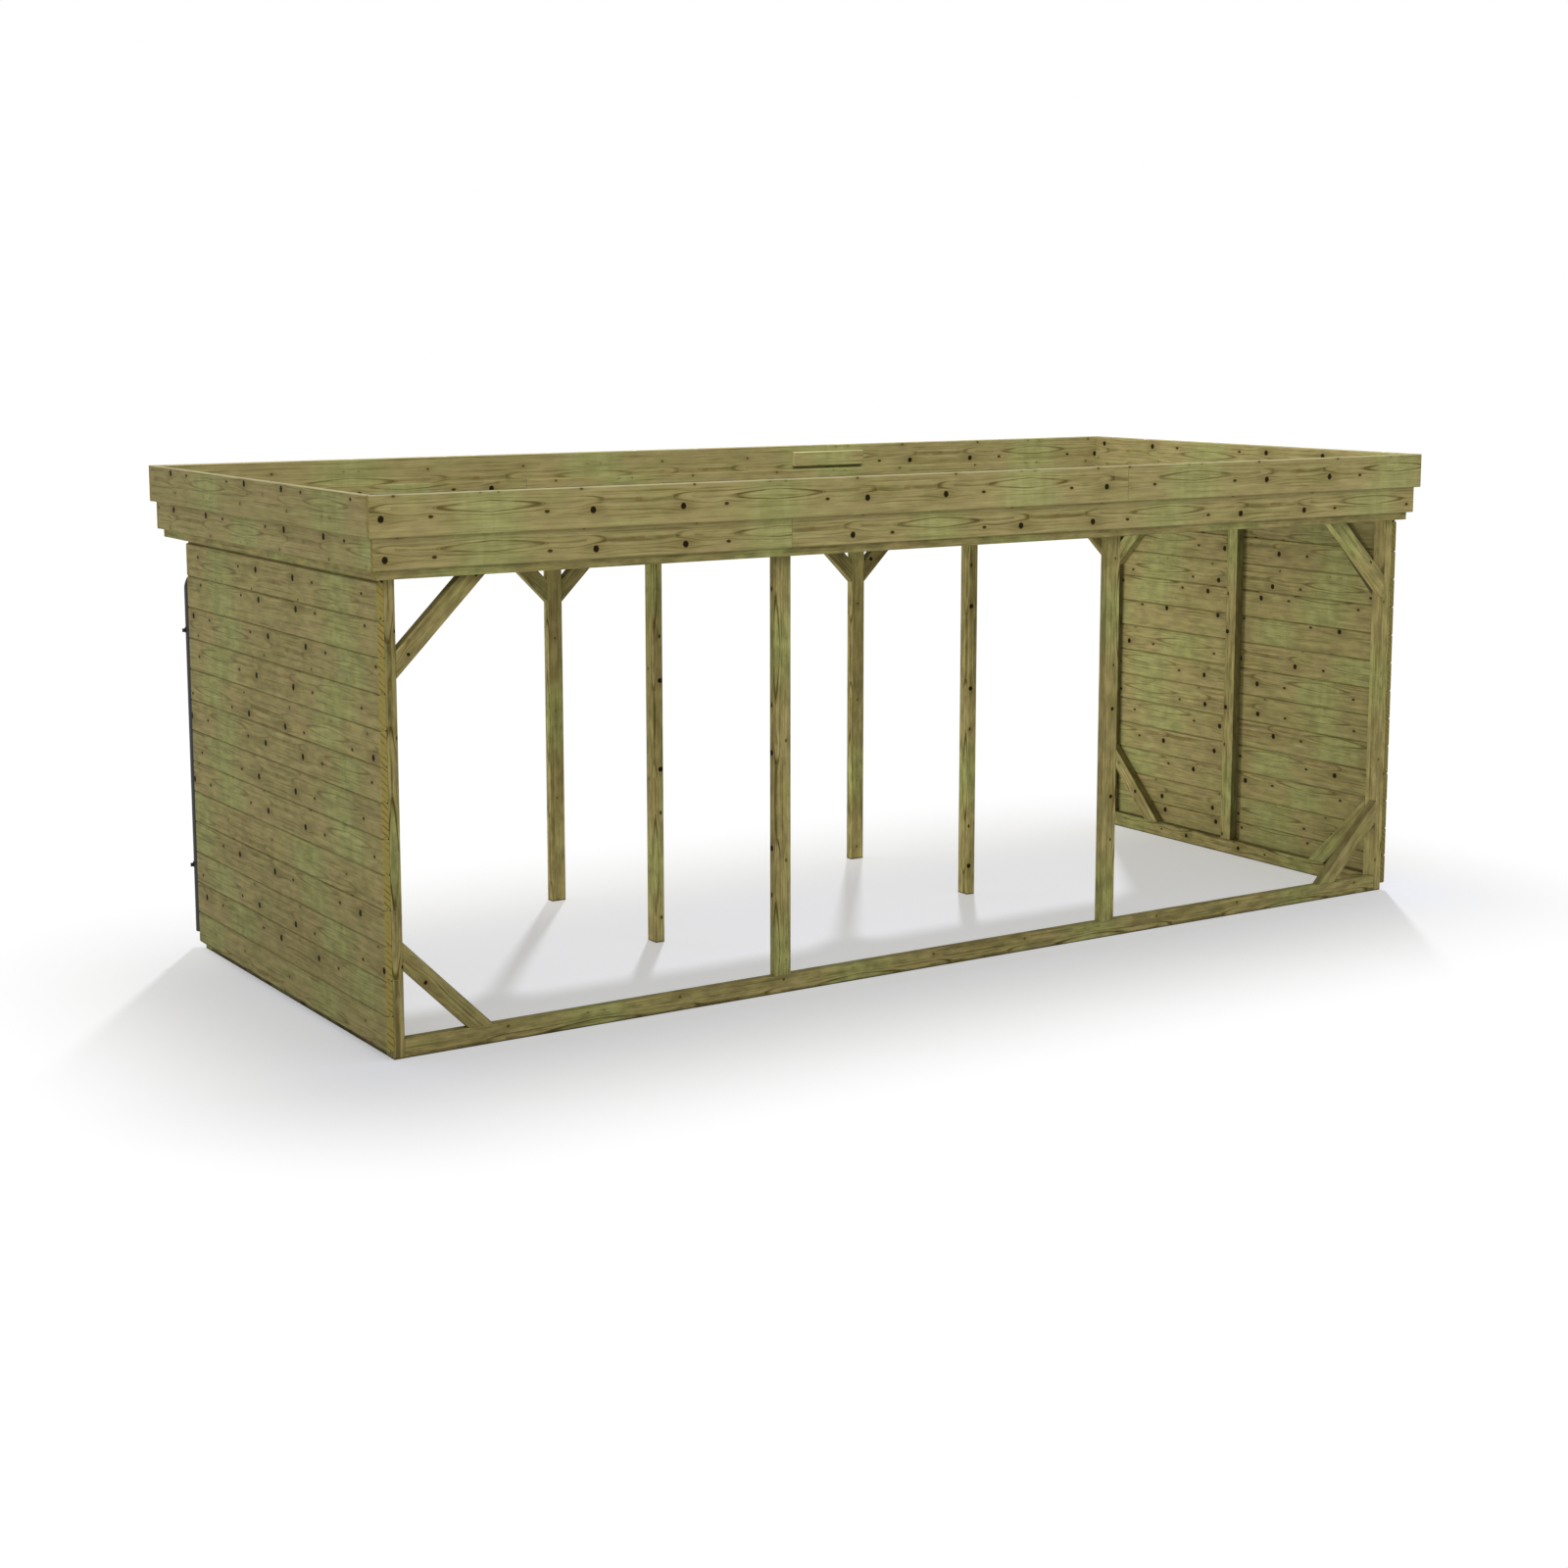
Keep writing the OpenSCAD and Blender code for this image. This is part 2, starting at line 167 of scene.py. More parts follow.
class Timber:
    """Collects boards into one mesh."""

    def __init__(self, name):
        self.name = name
        self.v, self.f, self.smooth, self.end = [], [], [], []
        self.co, self.seed, self.map, self.tone, self.turn = [], [], [], [], []

    def board(self, origin, u, v, w, length, profile, seed, tile=None, facing=None, s0=0.0, s1=0.0,
              chamfer=0.0015, step=0.7, tone=1.0, edge_tone=None, figure=1.0, cut_ends=True):
        """origin is the middle of the board's start; s0 and s1 are how far the
        ends run along u for each metre of v, so a mitre has 1 or -1."""
        if u.cross(v).dot(w) < 0:
            w = -w
        rng = random.Random(seed)
        tag = (rng.random(), rng.random(), rng.random())
        bv = max(p[0] for p in profile) - min(p[0] for p in profile)
        bw = max(p[1] for p in profile) - min(p[1] for p in profile)
        if tile is None:
            tile = any_tile(rng, bv)
        # the figure runs on round the edges of the board; it is set on the face
        # that looks along `facing`
        front = bw / 2 if facing is not None and w.dot(facing) > 0 else -bw / 2
        u0, row, way, size = tile
        edge_tone = tone if edge_tone is None else edge_tone
        if not isinstance(edge_tone, tuple):
            edge_tone = (edge_tone, edge_tone)
        kv, kw = 1 - 2 * chamfer / bv, 1 - 2 * chamfer / bw
        n = max(1, round((length - 2 * chamfer) / step))
        rings = [(0.0, True)]
        rings += [((chamfer + (length - 2 * chamfer) * i / n) / length, False) for i in range(n + 1)]
        rings += [(1.0, True)]
        base = len(self.v)
        m = len(profile)
        for t, small in rings:
            for pv, pw, _ in profile:
                a, b = (pv * kv, pw * kw) if small else (pv, pw)
                at = (1 - t) * (s0 * a) + t * (length + s1 * a)
                self.v.append(origin + u * at + v * a + w * b)
                self.co.append((at, a, b - front))

        def face(idx, side, smooth, end):
            self.f.append(idx)
            self.smooth.append(smooth)
            self.end.append(1.0 if end and cut_ends else 0.0)
            self.seed.append(tag)
            self.map.append((u0, size, figure))
            self.tone.append(edge_tone[int(self.co[idx[0]][1] > 0)] if side == "edge" else tone)
            for n in idx:
                _, a, h = self.co[n]
                if side == "edge":
                    t = bv / 2 + abs(h) if a > 0 else -bv / 2 - abs(h)
                elif side == "far":
                    t = bv + bw - a
                else:
                    t = a
                self.turn.append(way * (t - row))

        for j in range(m):
            k = (j + 1) % m
            dv, dw = profile[k][0] - profile[j][0], profile[k][1] - profile[j][1]
            if abs(dv) < abs(dw) * 1.2:
                side = "edge"
            else:
                side = "near" if abs((profile[k][1] + profile[j][1]) / 2 - front) < bw / 2 else "far"
            for i in range(len(rings) - 1):
                q = [base + i * m + j, base + i * m + k, base + (i + 1) * m + k, base + (i + 1) * m + j]
                face(q, side, profile[k][2], False)
        face([base + j for j in reversed(range(m))], "near", False, True)
        last = base + (len(rings) - 1) * m
        face([last + j for j in range(m)], "near", False, True)

    def make(self):
        mesh = bpy.data.meshes.new(self.name)
        mesh.from_pydata([tuple(p) for p in self.v], [], self.f)
        mesh.polygons.foreach_set("use_smooth", self.smooth)
        a = mesh.attributes.new("wood_co", "FLOAT_VECTOR", "POINT")
        a.data.foreach_set("vector", [x for c in self.co for x in c])
        for name, rows in (("wood_seed", self.seed), ("wood_map", self.map)):
            a = mesh.attributes.new(name, "FLOAT_VECTOR", "FACE")
            a.data.foreach_set("vector", [float(x) for c in rows for x in c])
        for name, rows, domain in (("wood_end", self.end, "FACE"), ("wood_painted_light", self.tone, "FACE"),
                                   ("wood_turn", self.turn, "CORNER")):
            a = mesh.attributes.new(name, "FLOAT", domain)
            a.data.foreach_set("value", rows)
        mesh.update()
        obj = bpy.data.objects.new(self.name, mesh)
        scene.collection.objects.link(obj)
        return obj


# --------------------------------------------------------------------------
# shader helpers
# --------------------------------------------------------------------------
class Graph:
    def __init__(self, tree):
        self.t = tree
        self.x = 0

    def node(self, kind, **props):
        n = self.t.nodes.new(kind)
        self.x += 40
        n.location = (self.x, 0)
        for k, val in props.items():
            setattr(n, k, val)
        return n

    def put(self, sock, value):
        if value is None:
            return
        if isinstance(value, bpy.types.NodeSocket):
            self.t.links.new(value, sock)
        else:
            sock.default_value = value

    def math(self, op, a, b=None, c=None, clamp=False):
        n = self.node("ShaderNodeMath", operation=op, use_clamp=clamp)
        self.put(n.inputs[0], a)
        if b is not None:
            self.put(n.inputs[1], b)
        if c is not None:
            self.put(n.inputs[2], c)
        return n.outputs[0]

    def vmath(self, op, a, b=None, scale=None):
        n = self.node("ShaderNodeVectorMath", operation=op)
        self.put(n.inputs[0], a)
        if b is not None:
            self.put(n.inputs[1], b)
        if scale is not None:
            self.put(n.inputs["Scale"], scale)
        return n.outputs["Value"] if op in ("LENGTH", "DISTANCE", "DOT_PRODUCT") else n.outputs["Vector"]

    def split(self, v):
        n = self.node("ShaderNodeSeparateXYZ")
        self.put(n.inputs[0], v)
        return n.outputs[0], n.outputs[1], n.outputs[2]

    def join(self, x, y, z):
        n = self.node("ShaderNodeCombineXYZ")
        for i, s in enumerate((x, y, z)):
            self.put(n.inputs[i], s)
        return n.outputs[0]

    def ramp(self, value, a, b, lo=0.0, hi=1.0, smooth=True):
        """Maps a..b to lo..hi, held outside."""
        n = self.node("ShaderNodeMapRange", interpolation_type="SMOOTHSTEP" if smooth else "LINEAR")
        self.put(n.inputs["Value"], value)
        for k, s in (("From Min", a), ("From Max", b), ("To Min", lo), ("To Max", hi)):
            n.inputs[k].default_value = s
        return n.outputs[0]

    def noise(self, co, scale=1.0, detail=2.0, rough=0.5, dims="3D", w=None, distortion=0.0):
        n = self.node("ShaderNodeTexNoise", noise_dimensions=dims)
        if dims != "1D":
            self.put(n.inputs["Vector"], co)
        if dims in ("1D", "4D"):
            self.put(n.inputs["W"], w if w is not None else co)
        n.inputs["Scale"].default_value = scale
        n.inputs["Detail"].default_value = detail
        n.inputs["Roughness"].default_value = rough
        n.inputs["Distortion"].default_value = distortion
        return n.outputs["Fac"]

    def mix(self, fac, a, b, blend="MIX"):
        n = self.node("ShaderNodeMix", data_type="RGBA", blend_type=blend)
        self.put(n.inputs["Factor"], fac)
        ins = [s for s in n.inputs if s.type == "RGBA"]
        for s, val in ((ins[0], a), (ins[1], b)):
            self.put(s, (*val, 1.0) if isinstance(val, tuple) and len(val) == 3 else val)
        return next(o for o in n.outputs if o.type == "RGBA")

    def attr(self, name, out="Vector"):
        n = self.node("ShaderNodeAttribute", attribute_type="GEOMETRY", attribute_name=name)
        return n.outputs[out]


def new_material(name):
    m = bpy.data.materials.new(name)
    m.use_nodes = True
    m.node_tree.nodes.clear()
    g = Graph(m.node_tree)
    out = g.node("ShaderNodeOutputMaterial")
    bsdf = g.node("ShaderNodeBsdfPrincipled")
    m.node_tree.links.new(bsdf.outputs[0], out.inputs["Surface"])
    return m, g, bsdf


def srgb(r, g, b):
    def lin(c):
        c /= 255
        return c / 12.92 if c <= 0.04045 else ((c + 0.055) / 1.055) ** 2.4

    return (lin(r), lin(g), lin(b))


# --------------------------------------------------------------------------
# pressure-treated softwood
# --------------------------------------------------------------------------
HALF = 0.6425   # half the length of the figure, which mirrors at both ends
LOW, SPAN = -0.075, 0.215   # the height of the figure and where it starts
# knots of the figure: along, across, radius, reach of the stained wood
KNOTS = (
    ("big", 0.441, 0.000, 0.0150, 1.08),
    ("pin", 0.2415, 0.002, 0.0072, 0.62),
    ("high", 0.390, 0.084, 0.0072, 0.85),
    ("faint", 0.0375, 0.084, 0.0055, 0.90),
    ("spot", 0.636, 0.035, 0.0085, 0.90),
)


def wood_material(name, tint=(1.0, 1.0, 1.0), contrast=1.0, painted_sky_highlight=0.0, painted_underside_shade=0.25, low=1.0, mottle=0.10):
    """A painted highlight lightens faces that look at the sky and painted shade darkens faces that look down, by the
    two amounts after contrast;
    low is how dark the wood is at the ground, rising to its own tone 1.2 m up, mottle how patchy it is."""
    m, g, bsdf = new_material(name)

    def tinted(r, gg, b):
        return tuple(c * k for c, k in zip(srgb(r, gg, b), tint))

    p = g.attr("wood_co")
    seed = g.attr("wood_seed")
    u, v, w = g.split(p)
    s1, s2, s3 = g.split(seed)
    u0, size, figure = g.split(g.attr("wood_map"))
    q = g.vmath("ADD", p, g.vmath("SCALE", seed, scale=61.0))

    # place in the figure
    s = g.math("PINGPONG", g.math("SUBTRACT", u, u0), HALF)
    t = g.math("WRAP", g.attr("wood_turn", "Fac"), LOW + SPAN, LOW)
    wobble = g.noise(g.vmath("MULTIPLY", q, (24.0, 60.0, 60.0)), detail=2.0)
    wob = g.math("MULTIPLY_ADD", wobble, 0.36, 0.82)

    cores, stain = {}, None
    bent = t
    for key, ks, kt, kr, slim in KNOTS:
        ds = g.math("SUBTRACT", s, ks)
        dt = g.math("SUBTRACT", t, kt)
        d2 = g.math("MULTIPLY", dt, dt)
        long_ = g.math("MULTIPLY", ds, slim)
        d = g.math("SQRT", g.math("MULTIPLY_ADD", long_, long_, d2))
        d = g.math("DIVIDE", d, g.math("MULTIPLY", size, kr))
        cores[key] = g.math("MULTIPLY", d, wob)
        if key == "spot":
            continue
        # the grain runs round the knot
        far = g.math("MULTIPLY", ds, 0.42)
        e2 = g.math("MULTIPLY_ADD", far, far, d2)
        fall = g.math("EXPONENT", g.math("MULTIPLY", e2, -1.0 / (1.9 * kr) ** 2))
        bent = g.math("SUBTRACT", bent, g.math("MULTIPLY", g.math("MULTIPLY", dt, fall), 0.8))
        amount = {"big": 0.42, "pin": 0.20, "high": 0.26, "faint": 0.14}[key]
        fall = g.math("MULTIPLY", fall, amount)
        stain = fall if stain is None else g.math("MAXIMUM", stain, fall)

    # slow waves of the grain, the same for one board's whole length
    wave = g.noise(g.vmath("MULTIPLY", q, (3.2, 9.0, 9.0)), detail=2.0, rough=0.5)
    bent = g.math("ADD", bent, g.math("MULTIPLY_ADD", wave, 0.0050, -0.0025))

    # growth rings: nested flames round an axis a little above the knots
    x = g.math("DIVIDE", g.math("PINGPONG", g.math("SUBTRACT", bent, 0.032), SPAN / 2), 0.0225)
    rise = g.math("ADD", g.ramp(s, 0.0, 0.238, 0.0, 1.05, False), g.ramp(s, 0.40, 0.495, 0.0, 1.15, False))
    blunt = g.ramp(s, 0.30, 0.43, 2.0, 3.4)
    phi = g.math("ADD", g.math("POWER", g.math("MAXIMUM", x, 0.0001), blunt), rise)
    root = g.math("SQRT", phi)
    f = g.math("DIVIDE", g.math("SUBTRACT", root, 1.0), 0.47)
    saw = g.math("FRACT", g.math("ADD", f, 3.0))
    late = g.math("MULTIPLY", g.ramp(saw, 0.58, 0.90), g.ramp(saw, 1.0, 0.96))
    soft = g.ramp(saw, 0.12, 0.0)
    late = g.math("MAXIMUM", late, g.math("MULTIPLY", soft, 0.8))
    inner = g.ramp(root, 0.60, 0.75)
    fading = g.ramp(root, 1.50, 1.70, 1.0, 0.42)
    late = g.math("MULTIPLY", g.math("MULTIPLY", late, inner), fading)
    below = g.ramp(t, -0.024, -0.010, 0.35, 1.0)
    late = g.math("MULTIPLY", late, below)
    # the lines are strongest where a flame closes, and break up along its sides
    long_side = g.math("MAXIMUM", g.ramp(s, 0.36, 0.43, 0.50, 1.0), g.ramp(root, 1.30, 1.18, 0.0, 1.0))
    patchy = g.noise(g.vmath("MULTIPLY", q, (9.0, 46.0, 46.0)), detail=2.0)
    late = g.math("MULTIPLY", g.math("MULTIPLY", late, long_side), g.ramp(patchy, 0.33, 0.58, 0.40, 1.0))
    late = g.math("MULTIPLY", late, figure)

    # fine fibres, streaks, cross bands and blotches
    flow = g.join(u, bent, w)
    fq = g.vmath("ADD", flow, g.vmath("SCALE", seed, scale=47.0))
    fibre = g.noise(g.vmath("MULTIPLY", fq, (7.0, 330.0, 120.0)), detail=2.0, rough=0.6)
    streak = g.noise(g.vmath("MULTIPLY", fq, (2.6, 105.0, 60.0)), detail=3.0, rough=0.62)
    band = g.noise(g.vmath("MULTIPLY", q, (22.0, 3.5, 3.5)), detail=2.0, rough=0.5)
    blotch = g.noise(g.vmath("MULTIPLY", q, (4.0, 11.0, 11.0)), detail=3.0, rough=0.55)

    # green sapwood near the axis, brown heartwood towards the big knots
    side = g.math("ADD", s, g.math("MULTIPLY_ADD", blotch, 0.22, -0.11))
    side = g.math("ADD", side, g.math("MULTIPLY_ADD", s3, 0.04, -0.02))
    brown = g.ramp(side, 0.05, 0.23)
    green = g.mix(g.ramp(band, 0.36, 0.66), tinted(142, 141, 87), tinted(149, 149, 95))
    tan = g.mix(g.ramp(blotch, 0.38, 0.66), tinted(150, 137, 91), tinted(145, 136, 87))
    base = g.mix(brown, green, tan)
    pale = g.ramp(streak, 0.47, 0.26)
    base = g.mix(g.math("MULTIPLY", pale, 0.46 * contrast), base, tinted(172, 164, 114))
    deep = g.ramp(streak, 0.50, 0.74)
    base = g.mix(g.math("MULTIPLY", deep, 0.62 * contrast), base, tinted(100, 88, 42))
    base = g.mix(g.math("MULTIPLY", late, 0.95 * contrast, clamp=True), base, tinted(84, 73, 30))

    # single dark streaks of the figure
    def line(at, half, a, b, soft_end=0.06):
        d = g.math("ABSOLUTE", g.math("SUBTRACT", bent, at))
        k = g.ramp(d, half, half * 0.2)
        k = g.math("MULTIPLY", k, g.ramp(s, a, a + soft_end))
        return g.math("MULTIPLY", k, g.ramp(s, b, b - soft_end))

    lines = line(-0.004, 0.0030, 0.50, 0.70)
    for at, half, a, b in ((-0.021, 0.0034, 0.46, 0.72), (-0.036, 0.0030, 0.55, 0.75), (-0.009, 0.0026, 0.26, 0.44),
                           (0.066, 0.0036, 0.42, 0.70), (-0.015, 0.0020, -0.10, 0.22)):
        lines = g.math("MAXIMUM", lines, line(at, half, a, b))
    lines = g.math("MULTIPLY", lines, g.ramp(streak, 0.30, 0.55, 0.35, 1.0))
    base = g.mix(g.math("MULTIPLY", lines, 0.52 * contrast), base, tinted(92, 80, 36))

    fleck = g.math("MULTIPLY_ADD", fibre, 0.30, 0.85)
    # each board's random tone, times the painted light and shade set for its faces
    tone = g.math("MULTIPLY", g.math("MULTIPLY_ADD", s2, 0.07, 0.965), g.attr("wood_painted_light", "Fac"))
    patch = g.noise(g.vmath("MULTIPLY", q, (11.0, 34.0, 34.0)), detail=3.0, rough=0.6)
    fleck = g.math("MULTIPLY", fleck, g.ramp(patch, 0.30, 0.70, 1.0 - mottle, 1.0 + mottle))
    shade = g.math("MULTIPLY", fleck, tone)
    base = g.mix(1.0, base, g.join(shade, shade, shade), "MULTIPLY")

    # cut ends: golden, with the saw's slanted marks
    endg = g.attr("wood_end", "Fac")
    hatch = g.math("ADD", g.math("MULTIPLY", v, 37.0), g.math("MULTIPLY", w, 37.0))
    hatch = g.math("ADD", hatch, g.math("MULTIPLY_ADD", blotch, 0.8, g.math("MULTIPLY", s1, 9.0)))
    tooth = g.ramp(g.math("PINGPONG", hatch, 0.5), 0.05, 0.22)
    tooth = g.math("MAXIMUM", tooth, g.math("MULTIPLY", g.ramp(blotch, 0.42, 0.60), 0.85))
    cut_face = g.mix(tooth, tinted(104, 88, 32), tinted(137, 124, 66))
    base = g.mix(g.math("MULTIPLY", endg, 0.9), base, cut_face)

    # painted highlight on faces that look at the sky, painted shade on faces that look down
    geo = g.node("ShaderNodeNewGeometry")
    _, _, nz = g.split(geo.outputs["Normal"])
    if painted_sky_highlight:
        base = g.mix(g.math("MULTIPLY", g.ramp(nz, 0.12, 0.60), painted_sky_highlight), base, tinted(206, 196, 152))
    base = g.mix(g.math("MULTIPLY", g.ramp(nz, -0.10, -0.60), painted_underside_shade), base, tinted(84, 74, 34))
    # painted contact shadow: wood in the lowest 8 mm above the ground is darkened nearly to black
    _, _, pz = g.split(g.node("ShaderNodeTexCoord").outputs["Object"])
    base = g.mix(g.math("MULTIPLY", g.ramp(pz, 0.0085, 0.003), 0.85), base, tinted(48, 42, 18))
    if low < 1.0:
        fade = g.ramp(pz, 0.0, 1.2, low, 1.0)
        base = g.mix(1.0, base, g.join(fade, fade, fade), "MULTIPLY")

    # knots: stained wood round a dark, nearly black core
    side_grain = g.math("SUBTRACT", 1.0, endg)
    base = g.mix(g.math("MULTIPLY", stain, side_grain), base, tinted(96, 82, 38))
    dark = g.math("MULTIPLY", g.ramp(cores["big"], 1.10, 0.72), side_grain)
    base = g.mix(dark, base, srgb(30, 19, 2))
    for key, far, near, amount, colour in (
            ("pin", 1.25, 0.60, 1.0, (58, 48, 14)), ("high", 1.25, 0.50, 0.85, (72, 60, 22)),
            ("faint", 1.5, 0.4, 0.55, (92, 88, 40)), ("spot", 1.5, 0.4, 0.55, (112, 88, 44))):
        k = g.math("MULTIPLY", g.math("MULTIPLY", g.ramp(cores[key], far, near), amount), side_grain)
        base = g.mix(k, base, srgb(*colour))

    g.put(bsdf.inputs["Base Color"], base)
    g.put(bsdf.inputs["Roughness"], g.math("MULTIPLY_ADD", fibre, 0.18, 0.66))
    bsdf.inputs["Specular IOR Level"].default_value = 0.10
    height = g.math("MULTIPLY_ADD", late, 0.45, g.math("MULTIPLY", fibre, 0.55))
    height = g.math("SUBTRACT", height, g.math("MULTIPLY", dark, 0.8))
    bump = g.node("ShaderNodeBump")
    bump.inputs["Strength"].default_value = 0.30
    bump.inputs["Distance"].default_value = 0.0007
    g.put(bump.inputs["Height"], height)
    g.put(bsdf.inputs["Normal"], bump.outputs[0])
    return m


M_FASCIA = wood_material("treated_fascia", painted_sky_highlight=0.72)
M_LOWER = wood_material("treated_lower_fascia")
M_FRAME = wood_material("treated_frame", tint=(1.0, 1.0, 0.93), contrast=1.25, mottle=0.24)
M_WALL = wood_material("treated_boards", tint=(1.0, 1.0, 0.97), contrast=1.0, low=0.93, mottle=0.16)
M_ROOF = wood_material("treated_roof_boards", tint=(1.08, 1.06, 1.06))

# --------------------------------------------------------------------------
# straight timbers
# --------------------------------------------------------------------------
FRONT, BACK, LEFT, RIGHT = Vector((0, -1, 0)), Vector((0, 1, 0)), Vector((-1, 0, 0)), Vector((1, 0, 0))


def straight(name, node, material, seed, radius=0.003, cuts=(), tiles=(), facing=FRONT, painted_tones=(1.0, 1.0),
             figure=1.0, cut_ends=True):
    """One planed timber along its longest side, in one or more lengths."""
    lo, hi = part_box(node)
    size = hi - lo
    order = sorted(range(3), key=lambda i: -size[i])
    a, b, c = order
    u, v, w = AXES[a], AXES[b], AXES[c]
    mid = (lo + hi) / 2
    piece = Timber(name)
    stops = [lo[a]] + list(cuts) + [hi[a]]
    for i in range(len(stops) - 1):
        x0 = stops[i] + (0.0006 if i else 0.0)
        x1 = stops[i + 1] - (0.0004 if i < len(stops) - 2 else 0.0)
        o = mid.copy()
        o[a] = x0
        tile = tiles[i] if i < len(tiles) else None
        piece.board(o, u, v, w, x1 - x0, rounded(size[b], size[c], radius), seed * 7 + i, tile, facing,
                    tone=painted_tones[0], edge_tone=painted_tones[1], figure=figure, cut_ends=cut_ends,
                    chamfer=0.0005 if cuts else 0.0015)
    return finish_piece(piece.make(), [node], material)


# places in the figure of the frame's timbers, from each one's own start and
# middle line: (axis, row of large knots, way up)
FRAME_TILES = {
    "front_sill": ((0.8285, -0.064, 1.0, 1.0),),
    "front_post_left": ((0.1015, -0.070, 1.0, 1.0),),
    "front_post_right": ((0.137, 0.008, 1.0, 0.7),),
    "middle_post_left": ((0.3575, -0.069, 1.0, 0.9),),
    "middle_post_right": ((0.585, -0.046, 1.0, 0.9),),
    "back_post_left": ((0.90, -0.087, 1.0, 0.8),),
    "back_post_right": ((0.456, -0.087, 1.0, 0.9),),
    "right_wall_stud": ((0.2645, 0.021, 1.0, 0.9),),
    "corner_post_front_left": ((0.80, -0.087, 1.0, 0.9),),
    "corner_post_front_right": ((1.05, 0.090, 1.0, 0.9),),
    "corner_post_back_right": ((0.70, 0.090, 1.0, 0.9),),
    "rim_board_front": ((0.40, -0.1435, 1.0, 1.0),),
    "rim_board_left": ((0.90, -0.1435, 1.0, 1.0),),
    "rim_board_right": ((0.10, -0.1435, 1.0, 1.0),),
    "front_beam": ((0.10, -0.1335, 1.0, 1.0),),
}
# painted light and shade: how bright the wide faces and the narrow ones of each timber are painted; below 1 is painted
# shade, as on the sills, the front rim and the narrow faces of the stud and the back right corner post, above 1 is
# painted light, as on the back and middle posts
FRAME_PAINTED_LIGHT = {
    "front_sill": (0.79, 0.88), "rim_board_front": (0.83, 0.83), "left_wall_sill": (0.42, 0.60),
    "right_wall_sill": (0.88, 0.75), "back_post_left": (1.12, 1.0), "back_post_right": (1.12, 1.0),
    "front_post_left": (0.85, 1.0), "front_post_right": (0.86, 1.0),
    "middle_post_left": (1.10, 1.0), "middle_post_right": (1.10, 1.0),
    "right_wall_stud": (0.95, 0.60), "corner_post_back_right": (0.95, 0.55),
    "corner_post_front_right": (0.96, 0.96), "corner_post_front_left": (0.74, 0.76),
}
seed = 11
for node in (
    "corner_post_front_left", "corner_post_front_right", "corner_post_back_left", "corner_post_back_right",
    "front_post_left", "front_post_right", "middle_post_left", "middle_post_right",
    "back_post_left", "back_post_right", "left_wall_stud", "right_wall_stud",
    "front_sill", "left_wall_sill", "right_wall_sill", "left_wall_plate", "right_wall_plate",
    "front_beam", "middle_beam", "back_beam",
    "rim_board_front", "rim_board_back", "rim_board_left", "rim_board_right",
):
    seed += 1
    straight(node + "_timber", node, M_FRAME, seed, tiles=FRAME_TILES.get(node, ()),
             facing=LEFT if node.startswith(("middle_post", "corner_post", "right_wall", "rim_board_left")) else FRONT,
             painted_tones=FRAME_PAINTED_LIGHT.get(node, (1.0, 1.0)))

seam = (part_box("front_post_right")[0].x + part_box("front_post_right")[1].x) / 2
# the two rings have their butt joints over different posts
FASCIA = {
    "lower_fascia_front": ((-seam,), ((0.4875, -0.041, 1.0, 1.0), (0.7405, -0.041, 1.0, 1.0)), FRONT, 1.0),
    "lower_fascia_back": ((-seam,), ((1.204, 0.042, 1.0, 1.0), (0.55, -0.016, 1.0, 1.0)), FRONT, 0.8),
    "lower_fascia_left": ((), ((1.287, 0.017, -1.0, 1.0),), LEFT, 0.65),
    "lower_fascia_right": ((), ((0.3, 0.02, 1.0, 1.0),), LEFT, 0.5),
    "upper_fascia_front": ((seam,), ((0.4875, -0.010, 1.0, 1.0), (0.396, -0.010, 1.0, 1.0)), FRONT, 1.0),
    "upper_fascia_back": ((seam,), ((0.9555, -0.062, 1.0, 1.0), (0.1005, -0.016, 1.0, 1.0)), FRONT, 0.8),
    "upper_fascia_left": ((), ((0.387, 0.058, -1.0, 1.0),), LEFT, 0.6),
    "upper_fascia_right": ((), ((1.459, 0.042, -1.0, 1.0),), LEFT, 0.8),
}
for node, (cuts, tiles, facing, figure) in FASCIA.items():
    seed += 1
    # the left upper fascia's wide faces are painted 4 % darker, as shade
    straight(node + "_board", node, M_FASCIA if node.startswith("upper") else M_LOWER, seed,
             radius=0.0055, cuts=cuts, tiles=tiles, facing=facing, figure=figure,
             painted_tones=(0.96, 1.0) if node == "upper_fascia_left" else (1.0, 1.0))
straight("fascia_splice_board", "fascia_splice_plate", M_FASCIA, 77, radius=0.004,
         tiles=((0.22, -0.022, 1.0, 0.2),), figure=0.15, cut_ends=False)

# --------------------------------------------------------------------------
# knee braces
# --------------------------------------------------------------------------


